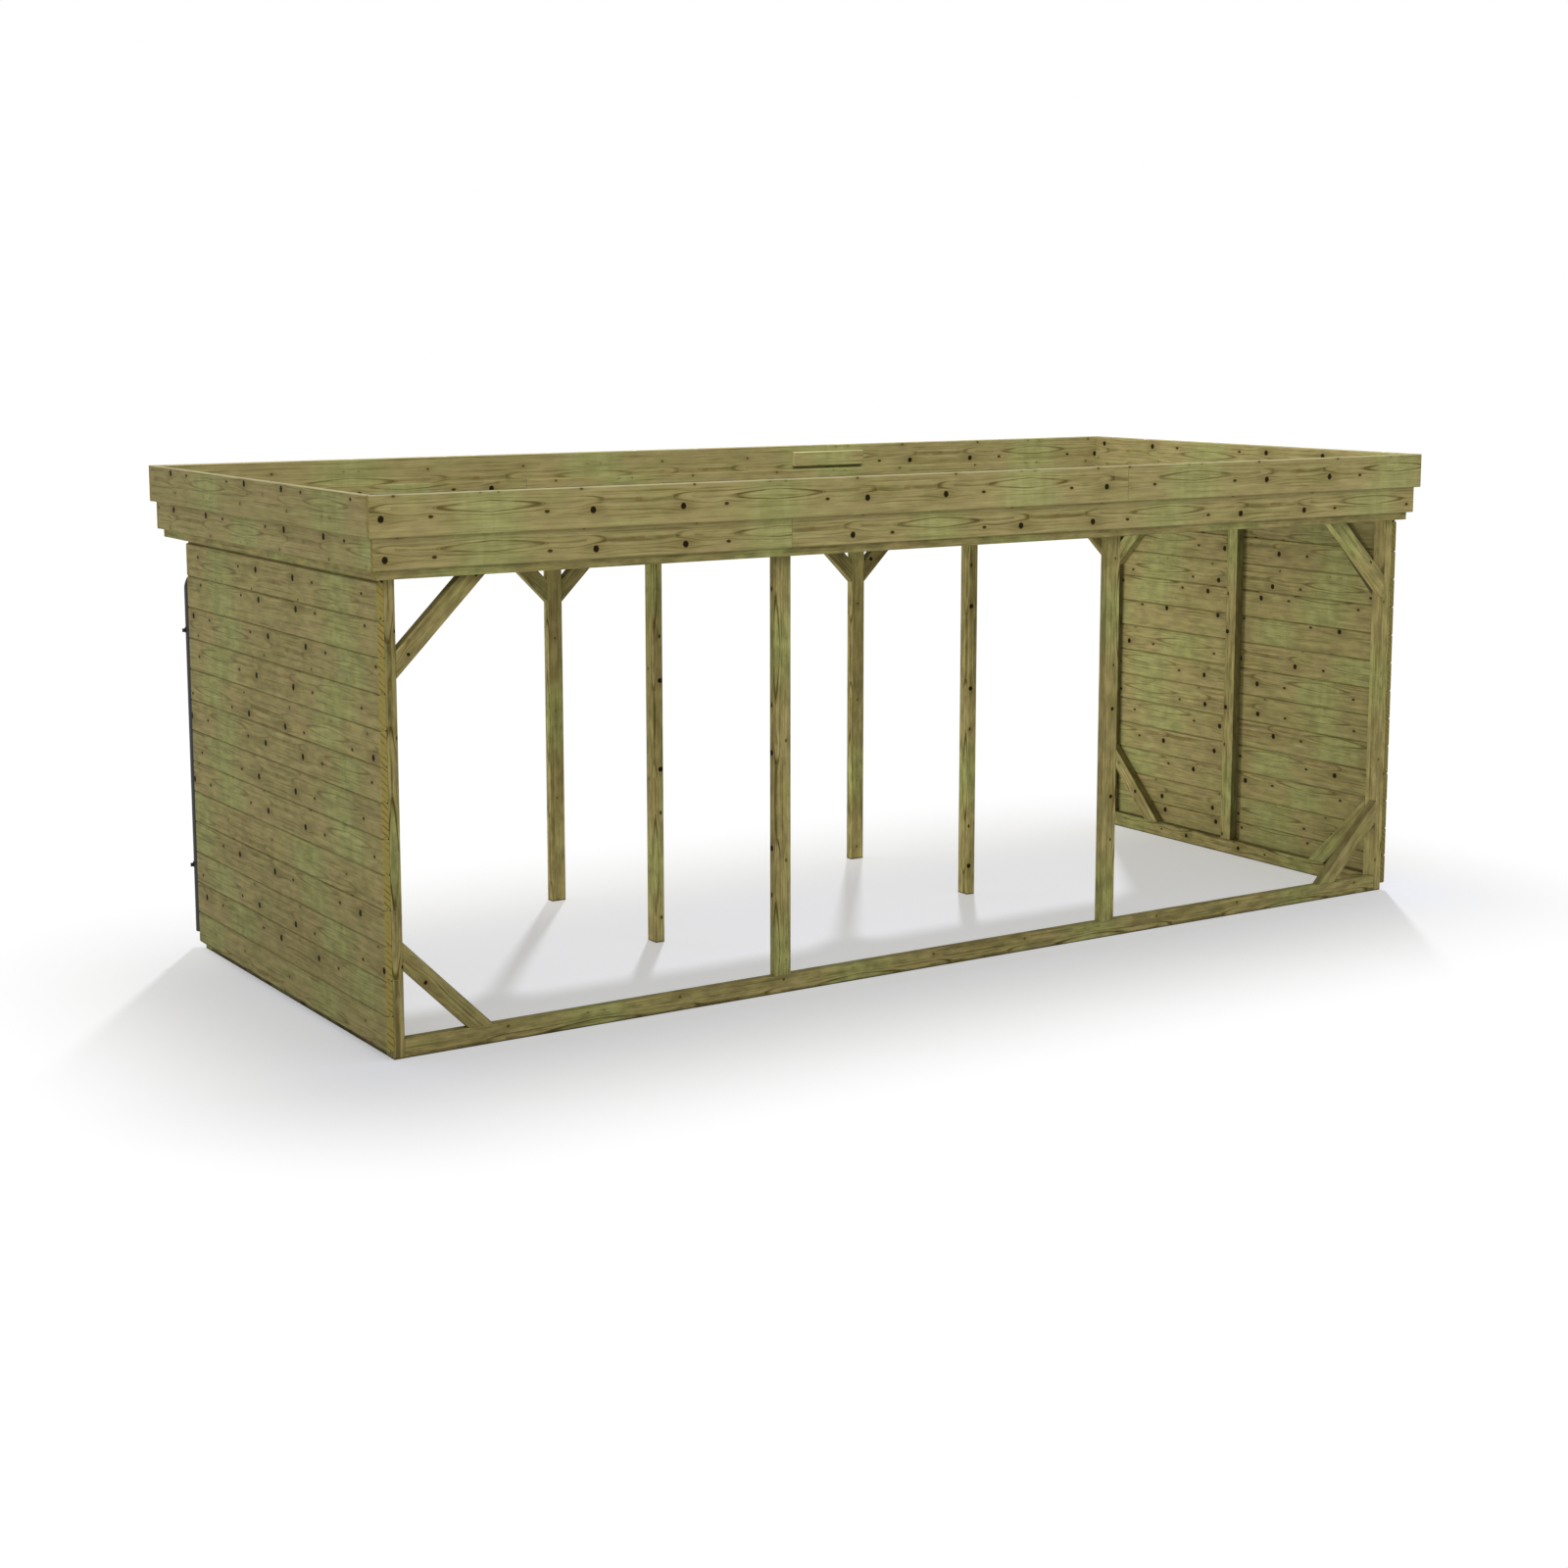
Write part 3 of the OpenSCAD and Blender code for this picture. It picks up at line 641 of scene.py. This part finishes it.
def braces(name, node, seed, tiles={}, tone=0.88, down=1.35, up=0.70):
    """Each CAD strut is a prism with 45 degree ends; it gets eased edges and
    grain along its length."""
    piece = Timber(name)
    for n, pts in enumerate(islands(node)):
        lo = Vector([min(p[i] for p in pts) for i in range(3)])
        hi = Vector([max(p[i] for p in pts) for i in range(3)])
        size = hi - lo
        c = min(range(3), key=lambda i: size[i])  # across the thickness
        a = 0 if c == 1 else 1
        w = AXES[c]
        corners = sorted({(round(p[a], 5), round(p.z, 5)) for p in pts})
        # the two ends are the pairs that share a height or a plumb line
        best = None
        for i in range(4):
            for j in range(i + 1, 4):
                d = Vector((corners[j][0] - corners[i][0], corners[j][1] - corners[i][1]))
                if best is None or d.length > best[0]:
                    best = (d.length, i, j)
        _, i, j = best
        p0, p1 = Vector(corners[i]), Vector(corners[j])
        q0, q1 = [Vector(x) for k, x in enumerate(corners) if k not in (i, j)]
        d = (p1 - p0).normalized()
        if (q1 - q0).dot(d) < 0:
            q0, q1 = q1, q0
        side = Vector((-d.y, d.x))
        if (q0 - p0).dot(side) < 0:
            side = -side
        width = (q0 - p0).dot(side)
        mid0 = p0 + side * (width / 2)
        t0 = (q0 - p0).dot(d)  # how far the end runs back over the width
        t1 = (q1 - p1).dot(d)
        start = p0 + side * (width / 2) + d * (t0 / 2)
        stop = p1 + side * (width / 2) + d * (t1 / 2)

        def three(x):
            out = Vector((0, 0, 0))
            out[a], out[2] = x[0], x[1]
            return out

        o = three(start)
        o[c] = (lo[c] + hi[c]) / 2
        # painted shade: the wall braces in the upper front corners are painted much darker; the low braces in the
        # front plane are painted a little darker
        face = tone * (0.36 if c == 0 and lo.z > 1.0 and hi.y < 0.0 else 1.0)
        if c == 1 and hi.z < 1.0:
            face *= 0.82
        u, v = three(d), three(side)
        length = (stop - start).length
        # painted light and shade: the narrow face that looks down is painted lighter and the one that looks up darker,
        # by the factors down and up
        piece.board(o, u, v, w, length, rounded(width, size[c], 0.003), seed * 5 + n, tiles.get(n),
                    FRONT if c == 1 else LEFT, s0=t0 / width, s1=t1 / width, tone=face, figure=0.6,
                    edge_tone=(face * (down if v.z > 0 else up), face * (up if v.z > 0 else down)))
    return finish_piece(piece.make(), [node], M_FRAME)


braces("front_knee_braces", "front_braces", 401,
       {0: (-0.294, 0.0185, 1.0, 0.65), 1: (-0.380, -0.0095, 1.0, 0.55)})
braces("wall_knee_braces", "wall_braces", 431, down=1.1, up=0.9)
braces("back_knee_braces", "back_braces", 471, down=1.2, up=1.0)

# --------------------------------------------------------------------------
# wall boarding: thirteen tongued and grooved boards on each side
# --------------------------------------------------------------------------
BOARDS = 13
REST = 0.01175  # the top board's tongue stands this much above the boards

# places in the figure from the top board down: distance of the big knots' axis
# from the back edge, height of the big knots, way up
LEFT_ROWS = (
    (0.961, 1.771, -1), (0.985, 1.648, 1), (1.080, 1.507, -1), (0.938, 1.329, 1), (0.837, 1.155, 1),
    (1.018, 1.056, 1), (0.930, 0.902, 1), (1.025, 0.771, 1), (0.60, 0.570, 1), (0.675, 0.524, 1),
    (0.890, 0.343, 1), (1.128, 0.252, 1), (0.75, 0.020, 1),
)
RIGHT_ROWS = (
    (0.95, 1.680, 1), (1.123, 1.617, 1), (1.083, 1.445, 1), (1.003, 1.379, 1), (0.681, 1.259, 1),
    (1.260, 1.048, 1), (0.989, 0.927, 1), (1.000, 0.770, 1), (1.119, 0.667, 1), (0.678, 0.527, 1),
    (0.922, 0.404, 1), (0.676, 0.217, 1), (0.704, 0.146, 1),
)


def boarding(name, node, seed, rows, facing, shift, rise, tone=1.0, figure=1.0, top_rows_painted_shade=()):
    lo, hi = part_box(node)
    t = hi.x - lo.x
    # twelve boards of one cover, and a top board ripped to fit under the rim
    joints = [lo.z] + [lo.z + 0.0010 + 0.13755 * (i + 1) for i in range(BOARDS - 1)] + [hi.z - REST]
    piece = Timber(name)
    rng = random.Random(seed)
    for i in range(BOARDS):
        z, cover = (joints[i] + joints[i + 1]) / 2, joints[i + 1] - joints[i]
        top = i == BOARDS - 1
        prof = tongued(cover, t, gap=0.0010, tongue=REST + 0.0006 if top else 0.007)
        big, high, way = rows[BOARDS - 1 - i]
        big, high = big + shift, high + rise
        tile = (hi.y - big - lo.y + HALF, high - z, float(way), 1.0)
        down = BOARDS - 1 - i
        # painted shade: the top boards under the rim are darkened by the listed factors from the top down, and tone
        # darkens a whole wall; the faces at the joints are 4 % lighter
        face = tone * (top_rows_painted_shade[down] if down < len(top_rows_painted_shade) else 1.0)
        u, v, w = AXES[1], AXES[2], AXES[0]
        o = Vector(((lo.x + hi.x) / 2, lo.y + rng.uniform(0.0, 0.0010), z))
        piece.board(o, u, v, w, hi.y - lo.y - 0.0012, prof, seed * 17 + i, tile, facing, chamfer=0.0008,
                    tone=face, edge_tone=1.04 * face, figure=figure)
    return finish_piece(piece.make(), [node], M_WALL)


boarding("left_wall_boards", "left_wall_boarding", 601, LEFT_ROWS, LEFT, 0.071, 0.008, 0.93, 0.55)
boarding("right_wall_boards", "right_wall_boarding", 651, RIGHT_ROWS, LEFT, -0.036, -0.003, 1.0, 0.8, (0.78, 0.87))


# --------------------------------------------------------------------------
# remaining CAD nodes: plain procedural finishes for now
# --------------------------------------------------------------------------
def rubber():
    m, g, bsdf = new_material("roofing_rubber")
    co = g.node("ShaderNodeTexCoord").outputs["Object"]
    n = g.noise(co, scale=2.2, detail=4.0, rough=0.6)
    fine = g.noise(co, scale=260.0, detail=2.0)
    base = g.mix(n, srgb(44, 44, 46), srgb(66, 66, 66))
    g.put(bsdf.inputs["Base Color"], base)
    g.put(bsdf.inputs["Roughness"], g.math("MULTIPLY_ADD", n, 0.2, 0.66))
    bump = g.node("ShaderNodeBump")
    bump.inputs["Strength"].default_value = 0.3
    bump.inputs["Distance"].default_value = 0.0006
    g.put(bump.inputs["Height"], fine)
    g.put(bsdf.inputs["Normal"], bump.outputs[0])
    return m


def plastic():
    m, g, bsdf = new_material("anthracite_plastic")
    co = g.node("ShaderNodeTexCoord").outputs["Object"]
    n = g.noise(co, scale=14.0, detail=3.0)
    fine = g.noise(g.vmath("MULTIPLY", co, (500.0, 500.0, 40.0)), detail=2.0)
    g.put(bsdf.inputs["Base Color"], g.mix(n, srgb(25, 26, 28), srgb(34, 35, 38)))
    g.put(bsdf.inputs["Roughness"], g.math("MULTIPLY_ADD", n, 0.15, 0.45))
    bump = g.node("ShaderNodeBump")
    bump.inputs["Strength"].default_value = 0.15
    bump.inputs["Distance"].default_value = 0.0003
    g.put(bump.inputs["Height"], fine)
    g.put(bsdf.inputs["Normal"], bump.outputs[0])
    return m


M_RUBBER = rubber()
M_PLASTIC = plastic()
for node, mat in (("roofing_sheet", M_RUBBER), ("roof_outlet", M_PLASTIC), ("downpipe_bends", M_PLASTIC),
                  ("downpipe", M_PLASTIC), ("pipe_clips", M_PLASTIC)):
    o = frame["nodes"][node]
    o.data.materials.clear()
    o.data.materials.append(mat)

def smooth_piece(name, verts, faces, nodes):
    mesh = bpy.data.meshes.new(name)
    mesh.from_pydata([tuple(p) for p in verts], [], faces)
    mesh.shade_smooth()
    mesh.set_sharp_from_angle(angle=math.radians(35))
    mesh.update()
    obj = bpy.data.objects.new(name, mesh)
    scene.collection.objects.link(obj)
    return finish_piece(obj, nodes, M_PLASTIC)


def pipe_bends():
    """Two 45 degree bends from the downpipe in to the outlet, swept as one
    hollow tube."""
    p_lo, p_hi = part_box("downpipe")
    o_lo, o_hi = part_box("roof_outlet")
    b_lo, b_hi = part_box("downpipe_bends")
    x, y, r = (p_lo.x + p_hi.x) / 2, (p_lo.y + p_hi.y) / 2, (p_hi.y - p_lo.y) / 2
    xd = (o_lo.x + o_hi.x) / 2
    wall, rb = 0.0025, 0.060
    c45 = rb * (1 - math.cos(math.pi / 4))
    h45 = rb * math.sin(math.pi / 4)
    z1 = p_hi.z + 0.020
    z2 = z1 + 2 * h45 + (xd - x) - 2 * c45
    path = [(x, p_hi.z, 0.0)]
    path += [(x + rb * (1 - math.cos(a)), z1 + rb * math.sin(a), a)
             for a in [math.pi / 4 * k / 12 for k in range(13)]]
    path += [(xd - rb * (1 - math.cos(a)), z2 - rb * math.sin(a), a)
             for a in [math.pi / 4 * (1 - k / 12) for k in range(13)]]
    path += [(xd, b_hi.z, 0.0)]
    n = 56
    verts, faces = [], []

    def ring(p, radius):
        k = len(verts)
        for j in range(n):
            t = 2 * math.pi * j / n
            u, v = radius * math.cos(t), radius * math.sin(t)
            verts.append((p[0] + u * math.cos(p[2]), y + v, p[1] - u * math.sin(p[2])))
        return k

    outer = [ring(p, r) for p in path]
    inner = [ring(p, r - wall) for p in path]
    for rows, flip in ((outer, False), (inner, True)):
        for a, b in zip(rows, rows[1:]):
            for j in range(n):
                q = (a + j, a + (j + 1) % n, b + (j + 1) % n, b + j)
                faces.append(q[::-1] if flip else q)
    for k, flip in ((0, True), (-1, False)):
        for j in range(n):
            q = (outer[k] + j, outer[k] + (j + 1) % n, inner[k] + (j + 1) % n, inner[k] + j)
            faces.append(q[::-1] if flip else q)
    return smooth_piece("pipe_bends", verts, faces, ["downpipe_bends"])


def lathe(verts, faces, centre, axis, rim, n=24):
    """A closed turned shape: rim is (distance along the axis, radius) from
    one end to the other."""
    axis = Vector(axis)
    a = Vector((0, 0, 1)) if abs(axis.z) < 0.9 else Vector((1, 0, 0))
    e1 = axis.cross(a).normalized()
    e2 = axis.cross(e1)
    start = len(verts)
    for d, r in rim:
        for j in range(n):
            t = 2 * math.pi * j / n
            verts.append(Vector(centre) + axis * d + e1 * (r * math.cos(t)) + e2 * (r * math.sin(t)))
    for i in range(len(rim) - 1):
        for j in range(n):
            k, l = start + i * n, start + (i + 1) * n
            faces.append((k + j, k + (j + 1) % n, l + (j + 1) % n, l + j))
    faces.append(tuple(start + j for j in range(n))[::-1])
    faces.append(tuple(start + (len(rim) - 1) * n + j for j in range(n)))


def clip_screws():
    """Bolts through the lugs of the pipe clips and screws in their bases."""
    verts, faces = [], []
    p_lo, p_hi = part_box("downpipe")
    x, y = (p_lo.x + p_hi.x) / 2, (p_lo.y + p_hi.y) / 2
    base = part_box("pipe_clips")[0].y + 0.004
    head = ((0.0, 0.0042), (0.0016, 0.0042), (0.0024, 0.0034), (0.0028, 0.0018))
    for pts in islands("pipe_clips"):
        z = (min(p.z for p in pts) + max(p.z for p in pts)) / 2
        half = (max(p.x for p in pts) - min(p.x for p in pts)) / 2
        for side in (-1, 1):
            lug = x + side * (half - 0.007)
            lathe(verts, faces, (lug, y + 0.0038, z), (0, 1, 0), head)
            lathe(verts, faces, (lug, y - 0.0038, z), (0, -1, 0),
                  ((0.0, 0.0048), (0.0030, 0.0048), (0.0034, 0.0030)), 6)
            lathe(verts, faces, (x + side * 0.0145, base - 0.0002, z), (0, 1, 0), head)
    return smooth_piece("clip_screws", verts, faces, [])


pipe_bends()
clip_screws()


# rafters: ten tapered joists
def rafters():
    piece = Timber("rafter_timbers")
    lo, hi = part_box("rafters")
    for n, pts in enumerate(islands("rafters")):
        x0 = min(p.x for p in pts)
        x1 = max(p.x for p in pts)
        front = max(p.z for p in pts if abs(p.y - lo.y) < 1e-4)
        back = max(p.z for p in pts if abs(p.y - hi.y) < 1e-4)
        length = hi.y - lo.y
        mid = Vector(((x0 + x1) / 2, lo.y, (lo.z + front) / 2))
        start = len(piece.v)
        piece.board(mid, AXES[1], AXES[2], AXES[0], length, rounded(front - lo.z, x1 - x0, 0.003), 911 + n)
        for i in range(start, len(piece.v)):  # the taper is cut from the top
            p = piece.v[i]
            t = (p.y - lo.y) / length
            p.z = lo.z + (p.z - lo.z) * (1 - t + t * (back - lo.z) / (front - lo.z))
    return finish_piece(piece.make(), ["rafters"], M_FRAME)


rafters()


def roof_boards():
    """Boards along the building on the rafters, laid to the fall."""
    lo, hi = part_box("roof_deck")
    mesh = frame["nodes"]["roof_deck"].data
    tops = sorted((v.co.y, v.co.z) for v in mesh.vertices)
    y0, y1 = lo.y, hi.y
    front_low = min(z for y, z in tops if abs(y - y0) < 1e-4)
    back_low = min(z for y, z in tops if abs(y - y1) < 1e-4)
    thick = max(z for y, z in tops if abs(y - y0) < 1e-4) - front_low
    slope = (back_low - front_low) / (y1 - y0)
    v = Vector((0, 1, slope)).normalized()
    w = Vector((0, -slope, 1)).normalized()
    run = (y1 - y0) / v.y
    count = 20
    cover = run / count
    hole = (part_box("roof_outlet")[0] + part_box("roof_outlet")[1]) / 2
    piece = Timber("roof_board_deck")
    for i in range(count):
        c = Vector((lo.x, y0, front_low)) + v * (cover * (i + 0.5)) + w * (thick / 2 * w.z)
        prof = tongued(cover, thick * w.z - 0.0002, bevel=0.003, back=False)
        if i == count - 1:
            cut = cover / 2 - 0.0006
            prof2 = []
            for q in [(min(a, cut), b, s) for a, b, s in prof]:
                if not prof2 or abs(q[0] - prof2[-1][0]) > 1e-6 or abs(q[1] - prof2[-1][1]) > 1e-6:
                    prof2.append(q)
            prof = prof2
        # boards that meet the outlet stop short of it on both sides
        if abs(c.y - hole.y) < cover / 2 + 0.036:
            runs = ((lo.x, hole.x - 0.036), (hole.x + 0.036, hi.x))
        else:
            runs = ((lo.x, hi.x),)
        for k, (x0, x1) in enumerate(runs):
            piece.board(Vector((x0, c.y, c.z)), AXES[0], v, w, x1 - x0, prof, 1300 + i + 50 * k, None, -w,
                        chamfer=0.0008)
    return finish_piece(piece.make(), ["roof_deck"], M_ROOF)


roof_boards()

# --------------------------------------------------------------------------
# floor, light and camera
# --------------------------------------------------------------------------


def floor():
    mesh = bpy.data.meshes.new("floor")
    s = 60.0
    mesh.from_pydata([(-s, -s, 0), (s, -s, 0), (s, s, 0), (-s, s, 0)], [], [(0, 1, 2, 3)])
    obj = bpy.data.objects.new("floor", mesh)
    scene.collection.objects.link(obj)
    m = bpy.data.materials.new("pale_floor")
    m.use_nodes = True
    m.node_tree.nodes.clear()
    g = Graph(m.node_tree)
    out = g.node("ShaderNodeOutputMaterial")
    dif = g.node("ShaderNodeBsdfDiffuse")
    glow = g.node("ShaderNodeEmission")
    glow.inputs["Color"].default_value = (1, 1, 1, 1)
    glow.inputs["Strength"].default_value = 0.33
    near = g.node("ShaderNodeAddShader")
    m.node_tree.links.new(dif.outputs[0], near.inputs[0])
    m.node_tree.links.new(glow.outputs[0], near.inputs[1])
    emi = g.node("ShaderNodeEmission")
    emi.inputs["Color"].default_value = (1, 1, 1, 1)
    emi.inputs["Strength"].default_value = 1.02
    mix = g.node("ShaderNodeMixShader")
    # the floor fades to the backdrop's white round the object
    lo, hi = Vector(CAD_BOX[0]), Vector(CAD_BOX[1])
    x, y, _ = g.split(g.node("ShaderNodeTexCoord").outputs["Object"])
    dx = g.math("MULTIPLY", g.math("MAXIMUM", g.math("SUBTRACT", g.math("ABSOLUTE", x), 2.68), 0.0), 1.10)
    dyf = g.math("MAXIMUM", g.math("SUBTRACT", -1.1225, y), 0.0)
    dyb = g.math("MULTIPLY", g.math("MAXIMUM", g.math("SUBTRACT", y, 0.20), 0.0), 0.75)
    dy = g.math("MAXIMUM", dyf, dyb)
    d = g.math("SQRT", g.math("MULTIPLY_ADD", dx, dx, g.math("MULTIPLY", dy, dy)))
    g.put(mix.inputs[0], g.ramp(d, 0.05, 1.60))
    # cooler under the roof, where the wood's own colour falls on it
    g.put(dif.inputs["Color"], g.mix(g.ramp(d, 0.0, 0.7), (0.856, 0.881, 1.0), (0.868, 0.874, 0.895)))
    m.node_tree.links.new(near.outputs[0], mix.inputs[1])
    m.node_tree.links.new(emi.outputs[0], mix.inputs[2])
    m.node_tree.links.new(mix.outputs[0], out.inputs["Surface"])
    mesh.materials.append(m)
    return obj


floor()

world = bpy.data.worlds.new("studio")
scene.world = world
world.use_nodes = True
world.node_tree.nodes.clear()
wg = Graph(world.node_tree)
w_out = wg.node("ShaderNodeOutputWorld")
w_bg = wg.node("ShaderNodeBackground")
w_bg.inputs["Color"].default_value = (1, 1, 1, 1)
seen = wg.node("ShaderNodeLightPath").outputs["Is Camera Ray"]
AMBIENT = 0.45
wg.put(w_bg.inputs["Strength"], wg.math("MULTIPLY_ADD", seen, 1.0 - AMBIENT, AMBIENT))
world.node_tree.links.new(w_bg.outputs[0], w_out.inputs["Surface"])

BUILDING = bpy.data.collections.new("lit_building")
FROM_FRONT = bpy.data.collections.new("lit_from_front")
for o in scene.objects:
    if o.type == "MESH" and o.name != "floor":
        BUILDING.objects.link(o)
        if not o.name.startswith(("right_wall_", "wall_knee", "corner_post_back_right")):
            FROM_FRONT.objects.link(o)


def group(name, *pieces):
    c = bpy.data.collections.new(name)
    for p in pieces:
        c.objects.link(scene.objects[p])
    return c


INSIDE = group(
    "lit_inside", "right_wall_boards", "right_wall_stud_timber", "corner_post_front_right_timber",
    "corner_post_back_right_timber", "wall_knee_braces", "right_wall_sill_timber", "front_knee_braces")
BACK_POSTS = group("lit_back_posts", "back_post_left_timber", "back_post_right_timber")
ROW_POSTS = group("lit_row_posts", "front_post_left_timber", "front_post_right_timber")
MIDDLE_POSTS = group("lit_middle_posts", "middle_post_left_timber", "middle_post_right_timber")
BRACED = group("lit_braces", "front_knee_braces", "wall_knee_braces", "back_knee_braces")
WALL_FRAME = group("shades_wall", "right_wall_boards", "right_wall_stud_timber", "corner_post_front_right_timber",
                   "corner_post_back_right_timber", "wall_knee_braces", "right_wall_sill_timber",
                   "front_knee_braces", "rim_board_right_timber", "rim_board_front_timber",
                   "right_wall_plate_timber", "front_beam_timber")
PARAPET_X = group("lit_parapet_right", "upper_fascia_right_board", "lower_fascia_right_board",
                  "fascia_splice_board")
PARAPET_Y = group("lit_parapet_back", "upper_fascia_back_board", "lower_fascia_back_board",
                  "fascia_splice_board")


def sun(name, direction, strength, angle, receivers=None, shadow=True, blockers=None):
    light = bpy.data.lights.new(name, "SUN")
    light.energy = strength
    light.angle = math.radians(angle)
    light.use_shadow = shadow
    obj = bpy.data.objects.new(name, light)
    obj.rotation_euler = Vector(direction).to_track_quat("-Z", "Y").to_euler()
    scene.collection.objects.link(obj)
    if receivers is not None:
        obj.light_linking.receiver_collection = receivers
    if blockers is not None:
        obj.light_linking.blocker_collection = blockers
    return obj


el = math.radians(40.6)
sun("key_from_behind", (-0.588 * math.cos(el), -0.809 * math.cos(el), -math.sin(el)), 1.11, 3.0)
sun("soft_front", (0.25, 0.72, -0.65), 1.25, 50.0, FROM_FRONT)
sun("fill_inside", (1.0, -0.45, -0.05), 0.26, 22.0, INSIDE, True, WALL_FRAME)
sun("fill_back_posts", (1.0, 0.0, 0.0), 3.40, 60.0, BACK_POSTS, False)
sun("fill_row_posts", (1.0, 0.0, 0.0), 0.74, 60.0, ROW_POSTS, False)
sun("fill_middle_posts", (1.0, 0.0, 0.0), 1.62, 60.0, MIDDLE_POSTS, False)
sun("fill_braces", (0.5, 0.1, 1.0), 0.55, 60.0, BRACED, False)
sun("fill_parapet_right", (1.0, 0.0, 0.0), 3.20, 60.0, PARAPET_X, False)
sun("fill_parapet_back", (0.15, 0.75, -0.65), 1.45, 14.0, PARAPET_Y)
sun("fill_right", (-1.0, 0.0, 0.0), 0.30, 60.0, BUILDING, False)
sun("fill_back", (0.0, -1.0, 0.0), 0.30, 60.0, BUILDING, False)


def panel(name, at, towards, power, size, receivers, blockers):
    light = bpy.data.lights.new(name, "AREA")
    light.energy = power
    light.size = size
    obj = bpy.data.objects.new(name, light)
    obj.location = at
    obj.rotation_euler = (Vector(towards) - Vector(at)).to_track_quat("-Z", "Y").to_euler()
    obj.visible_camera = False
    scene.collection.objects.link(obj)
    obj.light_linking.receiver_collection = receivers
    obj.light_linking.blocker_collection = blockers
    return obj


panel("panel_inside", (-0.6, 1.8, 1.0), (2.65, 0.4, 1.0), 52.0, 1.0, INSIDE, WALL_FRAME)

cam_data = bpy.data.cameras.new("camera")
cam = bpy.data.objects.new("camera", cam_data)
scene.collection.objects.link(cam)
cam_data.sensor_width = 36.0
cam_data.sensor_fit = "HORIZONTAL"
cam_data.lens = 2511.3786 / 1600 * 36.0
cam_data.shift_x = 0.0
cam_data.shift_y = -0.0625
cam_data.clip_start = 0.05
cam_data.clip_end = 300.0
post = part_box("corner_post_front_left")[0]
cam.location = (post.x - 3.69521, post.y - 8.42775, post.z + 2.75522)
cam.rotation_euler = (1.4270703, 0.00044687, -0.57540553)
scene.camera = cam
scene.view_settings.view_transform = "Standard"
scene.view_settings.look = "None"
